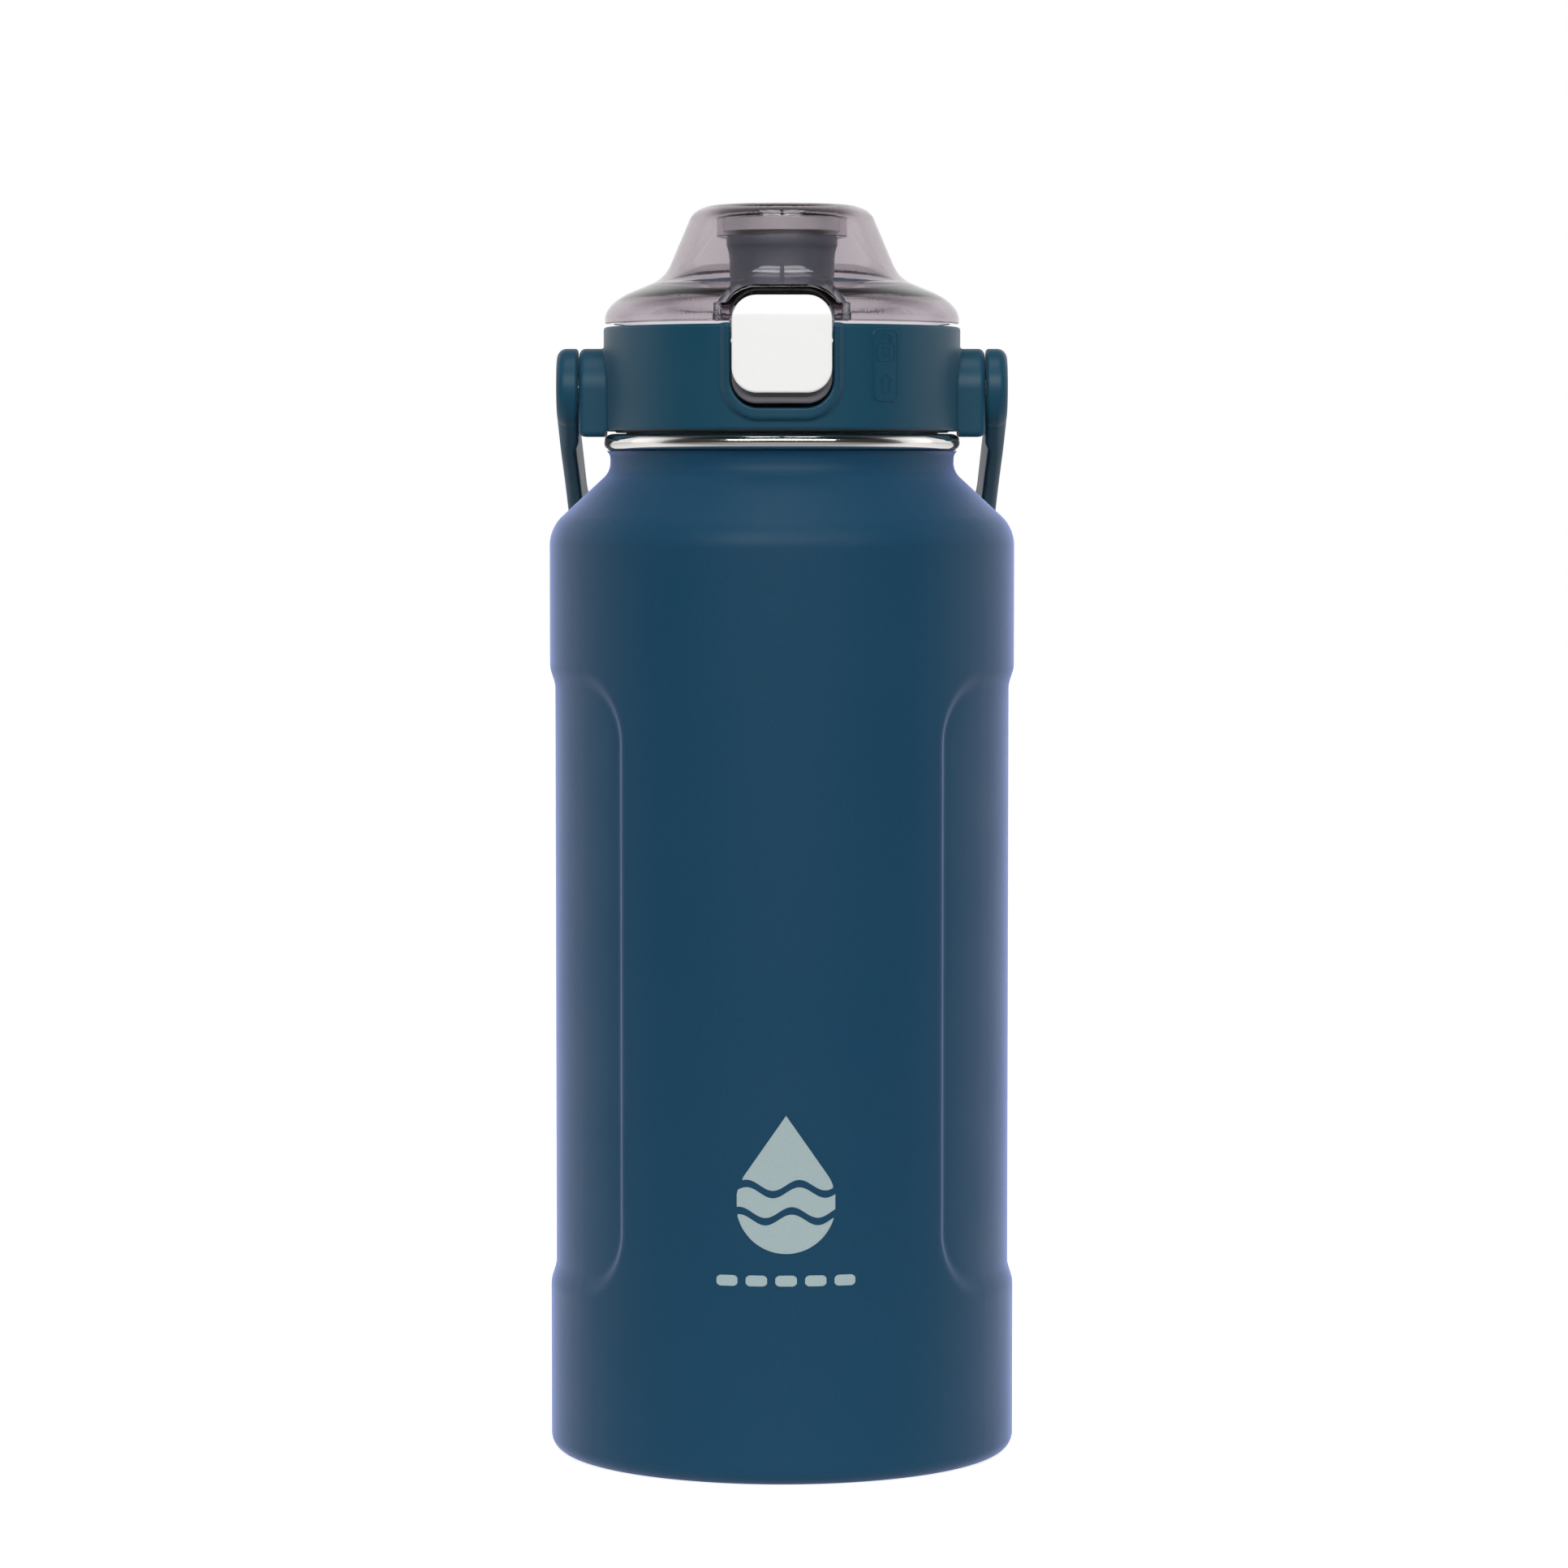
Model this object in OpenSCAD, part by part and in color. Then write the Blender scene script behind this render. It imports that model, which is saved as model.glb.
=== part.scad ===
// Large insulated water jug: a double-wall steel bottle with a screw-in lid, a flip cap over a
// drinking spout, a push button with a lock slider, and a carry handle.
// Frame: millimetres, +Z up, origin at the centre of the base, -Y is the button's side.

/* [Body] */
// Outer diameter of the steel body
body_d = 114.4; // [113.6:0.2:118]
// Height of the straight side, up to the start of the shoulder
side_h = 223.4; // [205:0.2:300]
// Wall of the outer shell
shell_t = 0.8; // [0.6:0.1:1.0]
// Wall of the inner flask
flask_t = 0.6; // [0.5:0.1:0.8]
// Depth of the two grip panels in the sides
grip_depth = 1.3; // [0.8:0.1:1.8]
// Half of the angle that each grip panel covers
grip_half_angle = 47; // [35:1:55]

/* [Lid] */
// Outer diameter of the lid's band
band_d = 87.6; // [87.4:0.2:88.2]
// Height of the lid's band
band_h = 25.3; // [25.3:0.1:27]
// Outer diameter of the spout at its waist
spout_d = 25.7; // [25:0.1:27]
// Pitch of the thread between the lid and the neck
thread_pitch = 5; // [4.6:0.1:5.4]

/* [Button] */
// Width of the push button and of the lock slider
button_w = 23.4; // [22:0.2:23.6]
// Height of the push button and of the lock slider
button_h = 23.3; // [23.3:0.1:23.8]
// Travel of the lock slider
lock_travel = 2.6; // [2:0.1:2.8]
// Travel of the push button
press_travel = 2.5; // [2:0.1:2.5]

/* [Handle] */
// Distance from the handle's pivots to the middle of its grip bar
handle_reach = 86; // [86:1:110]
// Angle of the hanging handle from straight down
handle_angle = 51; // [51:1:60]
// Width of the handle's strap
strap_w = 15; // [12:0.5:17]

/* [Hidden] */
$fn = 96;

// Heights of the bottle
body_r = body_d / 2;
base_round = 4;        // radius of the edge round the base
foot_r = 50;           // inner radius of the ring that the jug stands on
mouth_z = side_h + 27.4;
ring_h = 4.2;          // height of the neck ring
ring_z = mouth_z - ring_h;
ring_r = 43.8;
ring_in = 39.9;

// Shoulder of the outer shell: a convex arc, a straight cone and a concave arc into the neck
slope_a = 49;          // direction of the cone's normal above the horizontal
shoulder_round = 10;
neck_r = 42.2;
neck_round = 5;
neck_z = mouth_z - 7;
neck_flare = 0.9;      // how far the neck opens out under the ring

// Grip panels
grip_r = body_r - grip_depth;
grip_z = [41.9, 46, side_h - 34.7, side_h - 29.5];
grip_corner = 16;
grip_half_w = body_r * sin(grip_half_angle);

// Base of the bottle
plate_z = 2.2;
plate_t = 1;
evac_r = 2;            // evacuation hole

// Inner flask
flask_r = body_r - 4.7;
flask_z = 8;
flask_round = 8;
flask_neck_r = 40.1 + flask_t;
flask_side_z = side_h - 1;
flask_neck_z = mouth_z - 12;

// Thread
flask_bore_r = flask_neck_r - flask_t;
thread_depth = 1.2;
thread_z = mouth_z - 10.6;
flask_turns = 5 / 6;
plug_turns = 1.25;
plug_r = 38.3;
plug_t = 2.2;

// Lid
band_r = band_d / 2;
band_t = 2.6;
band_in = band_r - band_t;
band_z = mouth_z + 0.8;
band_top = band_z + band_h;
deck_t = 2.6;
deck_top = band_top - 1.7;
deck_z = deck_top - deck_t;
flange_z = mouth_z + 1.8;
flange_t = 2;
plug_z = mouth_z - 13.3;
plug_floor_t = 2.2;
frame_r = band_r + 1.4;    // front of the U-shaped frame
frame_half_w = 14.3;
frame_z = band_z + 2.4;

// Spout and its tube
tube_r = 9.9;
tube_in = 8.4;
tube_z = plug_z - 1;
tube_top = deck_top + 12.8;
spout_r = spout_d / 2;
lip_r = spout_r + 0.75;
lip_top = deck_top + 24;
oring_r = 1;

// Side bosses and pivots of the handle
pivot_z = band_z + 10.1;
boss_x = 49.7;
boss_r = 10;
boss_z = band_z - 1.5;
boss_bevel = 1.2;
pin_r = 3;
pin_end = 53.9;
eye_x = 50;
eye_t = 5.3;
eye_r = 10;

// Button, slider and the pocket they sit in
pocket_half_w = 12.3;
pocket_z = mouth_z + 6;
pocket_round = 6.7;
pocket_wall = 1.5;
button_round = 6;
button_z = mouth_z + 7;
button_front = -44.4;
button_t = 3;
button_back = button_front + button_t;
slider_z = button_z + 2.5;
slider_front = -47;
slider_t = 2.3;
slider_bend_z = slider_z + 18.2;
moving_gap = 0.3;
tab_z = [slider_z + 7.2, slider_z + 11.2];
tab_half_w = 3;
link_z = [slider_z + 12.5, slider_z + 16.3];
hook_half_w = 7;
hook_y = [-35.8, -33.8];
pocket_back = hook_y[1] + press_travel + moving_gap;
hook_top = mouth_z + 30;
spring_x = 8;
spring_z = button_z + 4.2;

// Cap
cap_z = band_top + 0.7;
cap_r = 43.5;
cap_t = 2.4;
cap_h = 29.6;
hood_half_w = 14.7;
hood_in = 12.3;
hood_top = cap_z + 8.5;
hood_front = -45.6;
hood_t = 1.5;
bar_y = [-38.5, -36.5];
bar_h = 1.6;
collar_r = 16;
collar_in = 14.6;
collar_z = cap_z + 21;

// Hinge of the cap
hinge_y = band_r + 2.8;
hinge_z = band_top - 0.6;
hinge_r = 3.2;
hinge_pin_r = 1.25;
knuckle_x = [4.5, 7.7];
ear_x = [8, 12];

// Handle
corner_r = 43;         // radius of the bend between each arm and the grip bar
arm_lean = 2.4;        // angle at which the arms lean towards each other
strap_t = 4;
strap_round = 1;

navy = [0.09, 0.25, 0.38];
teal = [0.10, 0.28, 0.37];
steel = [0.78, 0.77, 0.75];
smoke = [0.55, 0.50, 0.52, 0.55];
slate = [0.22, 0.23, 0.27];
white_plastic = [0.95, 0.95, 0.94];
grey_plastic = [0.38, 0.36, 0.38];
clear_silicone = [0.80, 0.80, 0.80];

// ---- helpers ----

// Points of an arc about c, from angle a0 to a1
function arc(c, r, a0, a1, n = 8) =
    [for (i = [0:n]) c + r * [cos(a0 + (a1 - a0) * i / n), sin(a0 + (a1 - a0) * i / n)]];

// Points of a smooth bend from a to c, which would meet at b
function bend(a, b, c, n = 6) =
    [for (i = [0:n]) let (t = i / n) (1 - t) * (1 - t) * a + 2 * t * (1 - t) * b + t * t * c];

// Rectangle with round corners: rb at the bottom and rt at the top
function round_rect(x0, x1, y0, y1, rb, rt) = concat(
    rb > 0 ? arc([x0 + rb, y0 + rb], rb, 180, 270) : [[x0, y0]],
    rb > 0 ? arc([x1 - rb, y0 + rb], rb, 270, 360) : [[x1, y0]],
    rt > 0 ? arc([x1 - rt, y1 - rt], rt, 0, 90) : [[x1, y1]],
    rt > 0 ? arc([x0 + rt, y1 - rt], rt, 90, 180) : [[x0, y1]]);

// Outline in X and Z, extruded from y0 to y1
module along_y(points, y0, y1) translate([0, y1, 0]) rotate([90, 0, 0])
    linear_extrude(y1 - y0) polygon(points);

// Outline in Y and Z, extruded from x0 to x1
module along_x(x0, x1) translate([x0, 0, 0]) rotate([90, 0, 90]) linear_extrude(x1 - x0) children();

// Round bar along X at the given y and z
module rod_x(r, x0, x1, y, z) translate([x0, y, z]) rotate([0, 90, 0]) cylinder(h = x1 - x0, r = r);

module ring(r, r_in, z0, z1) difference() {
    translate([0, 0, z0]) cylinder(h = z1 - z0, r = r);
    translate([0, 0, z0 - 1]) cylinder(h = z1 - z0 + 2, r = r_in);
}

module both_sides() {
    children();
    mirror([1, 0, 0]) children();
}

// Solid whose skin runs over rings of points, one ring after the other
module skin(points, sides) {
    last = len(points) / sides - 1;
    polyhedron(points, concat(
        [[for (k = [0:sides - 1]) k]],
        [for (i = [0:last - 1], k = [0:sides - 1]) let (a = i * sides + k, b = i * sides + (k + 1) % sides)
            [a, a + sides, b + sides, b]],
        [[for (k = [sides - 1:-1:0]) last * sides + k]]));
}

// Round wire along a path whose bends all lie about the axis
module wire(path, r, axis, sides = 8) {
    last = len(path) - 1;
    function unit(v) = v / norm(v);
    skin([for (i = [0:last]) let (
        t = unit(path[min(i + 1, last)] - path[max(i - 1, 0)]),
        n = unit(cross(t, axis)),
        b = cross(t, n))
        for (k = [0:sides - 1]) path[i] + r * (n * cos(360 * k / sides) + b * sin(360 * k / sides))],
        sides);
}

// Helical thread ridge on a wall of radius r, standing out to r + depth (inwards if depth is
// negative). It starts at thread_z in the direction phase.
module thread_ridge(r, depth, turns, phase) {
    steps = 36 * turns;
    run_out = 5;       // steps over which each end fades into the wall
    root_w = 2.8;
    crest_w = 1.6;
    buried = 0.4 * sign(depth);
    points = [for (i = [0:steps]) let (
        a = phase + 360 * turns * i / steps,
        z = thread_z + thread_pitch * turns * i / steps,
        fade = min(1, (i + 1) / run_out, (steps - i + 1) / run_out),
        profile = [[r - buried, -root_w / 2], [r + depth * fade, -crest_w / 2],
                   [r + depth * fade, crest_w / 2], [r - buried, root_w / 2]])
        for (p = profile) [p[0] * cos(a), p[0] * sin(a), z + p[1]]];
    flip = depth < 0;
    sides = [for (i = [0:steps - 1], k = [0:3]) let (a = 4 * i + k, b = 4 * i + (k + 1) % 4)
        flip ? [a, a + 4, b + 4, b] : [b, b + 4, a + 4, a]];
    start = flip ? [0, 1, 2, 3] : [3, 2, 1, 0];
    end = [for (k = flip ? [3, 2, 1, 0] : [0, 1, 2, 3]) 4 * steps + k];
    polyhedron(points, concat([start], sides, [end]));
}

// ---- bottle ----

// Outer shell's outline from the base edge to the neck ring, t inside its outer face
function shell_curve(t) = concat(
    arc([body_r - base_round, base_round], base_round - t, -90, 0),
    arc([body_r - shoulder_round, side_h], shoulder_round - t, 0, slope_a),
    arc([neck_r + neck_round, neck_z], neck_round + t, 180 + slope_a, 180),
    bend([neck_r - t, ring_z - 2], [neck_r - t, ring_z - 0.7], [neck_r + neck_flare - t, ring_z]));

// Sunk part of both sides; grow makes it larger on every side
module grip_panels(grow) both_sides() intersection() {
    rotate_extrude() polygon([
        [grip_r - grow, grip_z[1]], [grip_r - grow, grip_z[2]],
        [body_r + 1, grip_z[3] + 4], [body_r + 1, grip_z[0] - 3.2]]);
    along_x(10, body_r + 5)
        polygon(round_rect(-grip_half_w - grow, grip_half_w + grow, grip_z[0] - grow,
                           grip_z[3] + grow, grip_corner, grip_corner));
}

module outer_shell() color(navy) difference() {
    difference() {
        rotate_extrude() polygon(concat([[0, 0]], shell_curve(0), [[0, ring_z]]));
        grip_panels(0);
    }
    difference() {
        rotate_extrude() polygon(concat(
            [[0, -1], [foot_r, -1], [foot_r, shell_t]], shell_curve(shell_t),
            [[neck_r + neck_flare - shell_t, ring_z + 1], [0, ring_z + 1]]));
        grip_panels(shell_t);
    }
}

// Flask's outline from the floor to the neck ring, t inside its outer face
function flask_curve(t) = concat(
    [[0, flask_z + t]],
    arc([flask_r - flask_round, flask_z + flask_round], flask_round - t, -90, 0),
    arc([flask_r - flask_round, flask_side_z], flask_round - t, 0, slope_a),
    arc([flask_neck_r + 6, flask_neck_z], 6 + t, 180 + slope_a, 180));

module inner_flask() color(steel) union() {
    difference() {
        rotate_extrude() polygon(concat(
            flask_curve(0), [[flask_neck_r, ring_z], [0, ring_z]]));
        rotate_extrude() polygon(concat(
            flask_curve(flask_t), [[flask_neck_r - flask_t, ring_z + 1], [0, ring_z + 1]]));
    }
    thread_ridge(flask_bore_r, -thread_depth, flask_turns, 0);
}

module neck_ring() color(steel) rotate_extrude() polygon(concat(
    arc([ring_r - ring_h / 2, ring_z + ring_h / 2], ring_h / 2, -90, 90, 12),
    arc([ring_in + 0.9, mouth_z - 0.9], 0.9, 90, 180, 4),
    arc([ring_in + 0.4, ring_z + 0.4], 0.4, 180, 270, 3)));

module outer_base() color(steel) rotate_extrude() polygon([
    [evac_r, plate_z], [foot_r - 1.1, plate_z], [foot_r - 1.1, 0.4], [foot_r - 0.1, 0.4],
    [foot_r - 0.1, plate_z + plate_t], [evac_r, plate_z + plate_t]]);

module vacuum_seal() color(slate) rotate_extrude() polygon([
    [0, 1.2], [3, 1.2], [3.5, 1.5], [3.5, plate_z - 0.1], [evac_r - 0.1, plate_z - 0.1],
    [evac_r - 0.1, plate_z + plate_t - 0.1], [0, plate_z + plate_t - 0.1]]);

module getter() color([0.45, 0.44, 0.42]) translate([20, 0, 0]) difference() {
    translate([0, 0, plate_z + plate_t + 0.1]) cylinder(h = 1, r = 6);
    translate([0, 0, plate_z + plate_t + 0.5]) cylinder(h = 1, r = 4.6);
}

module base_cover() color(steel) rotate_extrude() polygon([
    [0, 0.3], [22, 0.3], [24, 1.5], [26, 1.5], [26, 2.1], [23.7, 2.1], [21.7, 0.9], [0, 0.9]]);

// ---- lid ----

module mouth_gasket() color(slate) rotate_extrude() polygon(
    round_rect(38.6, 41, mouth_z + moving_gap, flange_z - moving_gap, 0.4, 0.4));

module boss() {
    along_x(band_in - 1, boss_x - boss_bevel) polygon(boss_outline(0));
    along_x(boss_x - boss_bevel - 0.1, boss_x) polygon(boss_outline(boss_bevel));
}

// Tombstone outline, inset by d
function boss_outline(d) = concat(
    [[-boss_r + d, boss_z + d], [boss_r - d, boss_z + d]], arc([0, pivot_z], boss_r - d, 0, 180, 16));

// Ear of the cap's hinge
module ear() {
    rod_x(hinge_r, ear_x[0], ear_x[1], hinge_y, hinge_z);
    along_x(ear_x[0], ear_x[1]) polygon([
        [band_in + 0.6, hinge_z - 9], [band_r + 0.1, hinge_z - 9], [hinge_y + 2.6, hinge_z - 1],
        [hinge_y, hinge_z], [band_in + 0.6, hinge_z]]);
}

// Raised plaque on the band, to the right of the button
module plaque() intersection() {
    ring(band_r + 0.25, band_r - 1, band_z + 6.7, band_z + 24.1);
    rotate([0, 0, 34.5]) along_y(round_rect(-3.6, 3.6, band_z + 6.7, band_z + 24.1, 1.8, 1.8), -50, -30);
}

module lid_housing() color(teal) difference() {
    union() {
        rotate_extrude() polygon([
            [band_in, band_z], [band_r, band_z], [band_r, band_top - 0.8], [band_r - 0.8, band_top],
            [band_in, band_top]]);
        ring(band_in + 1, tube_r + 0.3, deck_z, deck_top);
        // frame round the button
        intersection() {
            ring(frame_r, band_in + 0.5, frame_z, band_top);
            along_y(round_rect(-frame_half_w, frame_half_w, frame_z, band_top, 9, 0), -50, -30);
        }
        // pocket that holds the button
        along_y(round_rect(-pocket_half_w - pocket_wall, pocket_half_w + pocket_wall,
                           pocket_z - pocket_wall, deck_top, 8, 0),
                -band_in, pocket_back + pocket_wall);
        both_sides() difference() {
            boss();
            cylinder(h = 400, r = band_in + 0.3);
            cylinder(h = band_z, r = ring_r + 0.5);
        }
        both_sides() ear();
        plaque();
    }
    along_y(round_rect(-pocket_half_w, pocket_half_w, pocket_z, band_top + 5, pocket_round, 0),
            -55, pocket_back);
    both_sides() rod_x(pin_r + 0.02, 30, 60, 0, pivot_z);
    rod_x(hinge_pin_r + 0.02, -20, 20, hinge_y, hinge_z);
    rod_x(hinge_r + 0.4, -ear_x[0], ear_x[0], hinge_y, hinge_z);
}

module lid_plug() color([0.92, 0.92, 0.91]) union() {
    rotate_extrude() polygon([
        [tube_r + 0.1, plug_z], [plug_r - 1.5, plug_z], [plug_r, plug_z + 1.5], [plug_r, flange_z],
        [band_in - 0.1, flange_z], [band_in - 0.1, flange_z + flange_t],
        [plug_r - plug_t, flange_z + flange_t], [plug_r - plug_t, plug_z + plug_floor_t],
        [tube_r + 0.1, plug_z + plug_floor_t]]);
    thread_ridge(plug_r, thread_depth, plug_turns, -180);
}

module spout_tube() color([0.92, 0.92, 0.91]) rotate_extrude() polygon([
    [tube_in, tube_z], [tube_r, tube_z], [tube_r, deck_z - 2.2], [14, deck_z - 2.2],
    [14, deck_z - 0.1], [tube_r, deck_z - 0.1], [tube_r, tube_top], [tube_in, tube_top]]);

module tube_seal() color(slate) translate([0, 0, plug_z + plug_floor_t + oring_r + 0.05])
    rotate_extrude() translate([tube_r + oring_r + 0.05, 0]) circle(oring_r);

module spout() color(slate) rotate_extrude() polygon(concat(
    [[tube_r + 0.15, deck_top + 0.1], [spout_r + 2.5, deck_top + 0.1],
     [spout_r + 2.5, deck_top + 1.8], [spout_r + 0.6, deck_top + 2.6]],
    bend([spout_r, deck_top + 5], [spout_r, lip_top - 5.5], [lip_r, lip_top - 3]),
    arc([lip_r - 0.9, lip_top - 0.9], 0.9, 0, 90, 4),
    [[lip_r - 2.4, lip_top], [lip_r - 3.4, lip_top - 1.6], [tube_in + 0.4, lip_top - 6],
     [tube_in + 0.4, tube_top + 0.3], [tube_r + 0.15, tube_top + 0.3]]));

module hinge_pin() color(steel) rod_x(hinge_pin_r, -ear_x[1], ear_x[1], hinge_y, hinge_z);

// Torsion spring round the hinge pin, with one leg down the band and one up the back of the cap
module hinge_spring() color(steel) {
    coil_r = 2.1;
    turns = 5;
    steps = 70;
    half_l = 3.2;
    coil = [for (i = [0:steps]) let (a = -180 + 360 * turns * i / steps)
        [-half_l + 2 * half_l * i / steps, hinge_y + coil_r * cos(a), hinge_z - coil_r * sin(a)]];
    down_leg = [[-half_l, hinge_y - coil_r, hinge_z - 6], [-half_l, hinge_y - coil_r, hinge_z - 3]];
    up_leg = [[half_l, hinge_y - coil_r, hinge_z + 1], [half_l, hinge_y - coil_r, hinge_z + 1.9]];
    wire(concat(down_leg, coil, up_leg), 0.35, [1, 0, 0]);
}

// Compression spring behind the button
module button_spring(x) color(steel) {
    turns = 6;
    steps = 72;
    coil_r = 2.2;
    wire_r = 0.3;
    y0 = button_back + wire_r + 0.1;
    y1 = pocket_back - wire_r - 0.1;
    wire([for (i = [0:steps]) let (a = 360 * turns * i / steps)
        [x + coil_r * cos(a), y0 + (y1 - y0) * i / steps, spring_z + coil_r * sin(a)]],
        wire_r, [0, 1, 0], 6);
}

module button_spring_left() button_spring(-spring_x);
module button_spring_right() button_spring(spring_x);

module pivot_pin() color(steel) {
    rod_x(pin_r, band_in - 2.4, pin_end, 0, pivot_z);
    rod_x(5, band_in - 2.4, band_in - 0.4, 0, pivot_z);
}

module pivot_pin_right() pivot_pin();
module pivot_pin_left() mirror([1, 0, 0]) pivot_pin();

// ---- cap ----

// Outline of the cap's outer face, from the rim to the top
cap_outline = concat(
    [[cap_r, cap_z]],
    bend([cap_r, cap_z + 1.5], [cap_r - 0.5, cap_z + 5.3], [cap_r - 6.7, cap_z + 8]),
    bend([31.5, cap_z + 10.2], [28.6, cap_z + 11.6], [27.2, cap_z + 15]),
    bend([22.7, cap_z + 25.6], [21.5, cap_z + 28.5], [17, cap_z + 29.1]),
    [[0, cap_z + cap_h]]);

// Outline of the cavity inside the cap
cavity_outline = concat(
    [[cap_r - cap_t, cap_z - 1]],
    bend([cap_r - cap_t, cap_z + 1.5], [cap_r - 3.1, cap_z + 4], [cap_r - 7.5, cap_z + 5.7]),
    bend([30.4, cap_z + 7.8], [26.8, cap_z + 9.8], [25.2, cap_z + 13.6]),
    bend([20.6, cap_z + 24.4], [19.6, cap_z + 26.8], [16.8, cap_z + 27]),
    [[0, cap_z + 27]]);

module clear_cap() color(smoke) difference() {
    union() {
        difference() {
            union() {
                rotate_extrude() polygon(concat([[0, cap_z]], cap_outline));
                // hood over the button
                along_y(round_rect(-hood_half_w, hood_half_w, cap_z, hood_top, 0, 8.5),
                        hood_front, -30);
            }
            rotate_extrude() polygon(concat([[0, cap_z - 1]], cavity_outline));
        }
        // catch bar that the button's hook holds
        intersection() {
            translate([-18, bar_y[0], cap_z]) cube([36, bar_y[1] - bar_y[0], bar_h]);
            cylinder(h = 400, r = cap_r - 1);
        }
        ring(collar_r, collar_in, collar_z, cap_z + 28);
        // hinge knuckles
        both_sides() {
            rod_x(hinge_r, knuckle_x[0], knuckle_x[1], hinge_y, hinge_z);
            translate([knuckle_x[0], cap_r - 2, cap_z])
                cube([knuckle_x[1] - knuckle_x[0], hinge_y - cap_r + 2, hinge_z + 3 - cap_z]);
        }
    }
    along_y(round_rect(-hood_in, hood_in, cap_z - 5, hood_top - hood_t, 0, 6.8), -55, bar_y[0]);
    rod_x(hinge_pin_r + 0.05, -20, 20, hinge_y, hinge_z);
}

module cap_seal() color(clear_silicone) rotate_extrude() polygon([
    [0, collar_z + 2.4], [6, collar_z + 2.4], [7, collar_z + 1.4], [collar_in - 0.1, collar_z + 1.4],
    [collar_in - 0.1, collar_z + 5.2], [0, collar_z + 5.2]]);

// ---- button ----

module push_button() color(grey_plastic) difference() {
    union() {
        along_y(round_rect(-button_w / 2, button_w / 2, button_z, button_z + button_h,
                           button_round, button_round), button_front, button_back);
        // link under the catch bar, and the hook behind it
        translate([-hook_half_w, button_back - 0.5, link_z[0]])
            cube([2 * hook_half_w, hook_y[1] - button_back + 0.5, link_z[1] - link_z[0]]);
        translate([-hook_half_w, hook_y[0], link_z[0]])
            cube([2 * hook_half_w, hook_y[1] - hook_y[0], hook_top - link_z[0]]);
        translate([-hook_half_w, hook_y[0] - 0.3, hook_top - 1.2])
            cube([2 * hook_half_w, 1, 1.2]);
        // pegs inside the springs
        both_sides() translate([spring_x, button_back + 2, spring_z]) rotate([90, 0, 0])
            cylinder(h = 2.5, r = 1.5);
    }
    // slot for the slider's tab
    translate([-tab_half_w - 0.4, -60, tab_z[0] - lock_travel - 0.4])
        cube([2 * tab_half_w + 0.8, 60 + button_back + 0.1, tab_z[1] - tab_z[0] + lock_travel + 0.8]);
}

module lock_slider() color(white_plastic) union() {
    difference() {
        union() {
            along_y(round_rect(-button_w / 2, button_w / 2, slider_z, slider_z + button_h,
                               button_round, button_round), slider_front, slider_front + slider_t);
            both_sides() translate([button_w / 2 - 0.3, slider_front + slider_t, slider_z + 12.4])
                rotate([90, 0, 0]) cylinder(h = slider_t - 0.5, r = 0.55);
        }
        // the top of the face leans back
        along_x(-20, 20) polygon([
            [slider_front - 1, slider_bend_z], [slider_front, slider_bend_z],
            [slider_front + 1.4, slider_z + button_h + 0.1], [slider_front - 1, slider_z + button_h + 0.1]]);
    }
    translate([-tab_half_w, slider_front + slider_t - 0.1, tab_z[0]])
        cube([2 * tab_half_w, button_back + 1.4 - slider_front - slider_t, tab_z[1] - tab_z[0]]);
    translate([-5, button_back + moving_gap, tab_z[0] - 1])
        cube([10, 1.1, tab_z[1] - tab_z[0] + 1.5]);
}

// ---- handle ----

// Section of the strap: how far out, and how far across
function strap_section(w) = let (h = strap_t / 2, c = strap_round) [
    [-h + c, -w], [h - c, -w], [h, -w + c], [h, w - c], [h - c, w], [-h + c, w], [-h, w - c], [-h, -w + c]];

// Handle standing up from its pivots, before it is laid back
module upright_handle() {
    outer_x = eye_x + eye_t;
    bend_z = handle_reach - corner_r;
    arm_l = (bend_z + (corner_r + strap_t / 2) * sin(arm_lean)) / cos(arm_lean);
    bend_x = outer_x - (corner_r + strap_t / 2) * cos(arm_lean) - arm_l * sin(arm_lean);
    // places along the right half: x, z, angle of the outer side, half of the width
    arm = [for (p = [[0.5, 9.6], [24, strap_w / 2 + 0.6]]) [
        outer_x - p[0] * sin(arm_lean) - strap_t / 2 * cos(arm_lean),
        p[0] * cos(arm_lean) - strap_t / 2 * sin(arm_lean), arm_lean, p[1]]];
    bend = [for (i = [0:16]) let (a = arm_lean + (90 - arm_lean) * i / 16)
        [bend_x + corner_r * cos(a), bend_z + corner_r * sin(a), a, strap_w / 2]];
    right = concat(arm, bend);
    left = [for (i = [len(right) - 1:-1:0]) let (p = right[i]) [-p[0], p[1], 180 - p[2], p[3]]];
    difference() {
        union() {
            skin([for (p = concat(right, left), q = strap_section(p[3]))
                [p[0] + q[0] * cos(p[2]), q[1], p[1] + q[0] * sin(p[2])]], 8);
            both_sides() rod_x(eye_r, eye_x, outer_x, 0, 0);
        }
        both_sides() rod_x(pin_r + 0.06, eye_x - 1, pin_end + 0.3, 0, 0);
    }
}

module carry_handle() color(teal) translate([0, 0, pivot_z]) rotate([handle_angle - 180, 0, 0])
    upright_handle();

outer_shell();
inner_flask();
neck_ring();
outer_base();
vacuum_seal();
getter();
base_cover();
mouth_gasket();
lid_housing();
lid_plug();
spout_tube();
tube_seal();
spout();
hinge_pin();
hinge_spring();
button_spring_left();
button_spring_right();
pivot_pin_left();
pivot_pin_right();
clear_cap();
cap_seal();
push_button();
lock_slider();
carry_handle();
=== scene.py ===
"""Looks of the large insulated water jug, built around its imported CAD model.

Shapes are worked out in millimetres in the CAD model's frame (+Z up, -Y the button's side) and go
into the scene in metres. Moulded pieces are written as distance fields: a function of x, y and z
that is negative inside the piece. A grid finds the surface and the vertices are then moved onto it.
"""

import itertools
import math

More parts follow.
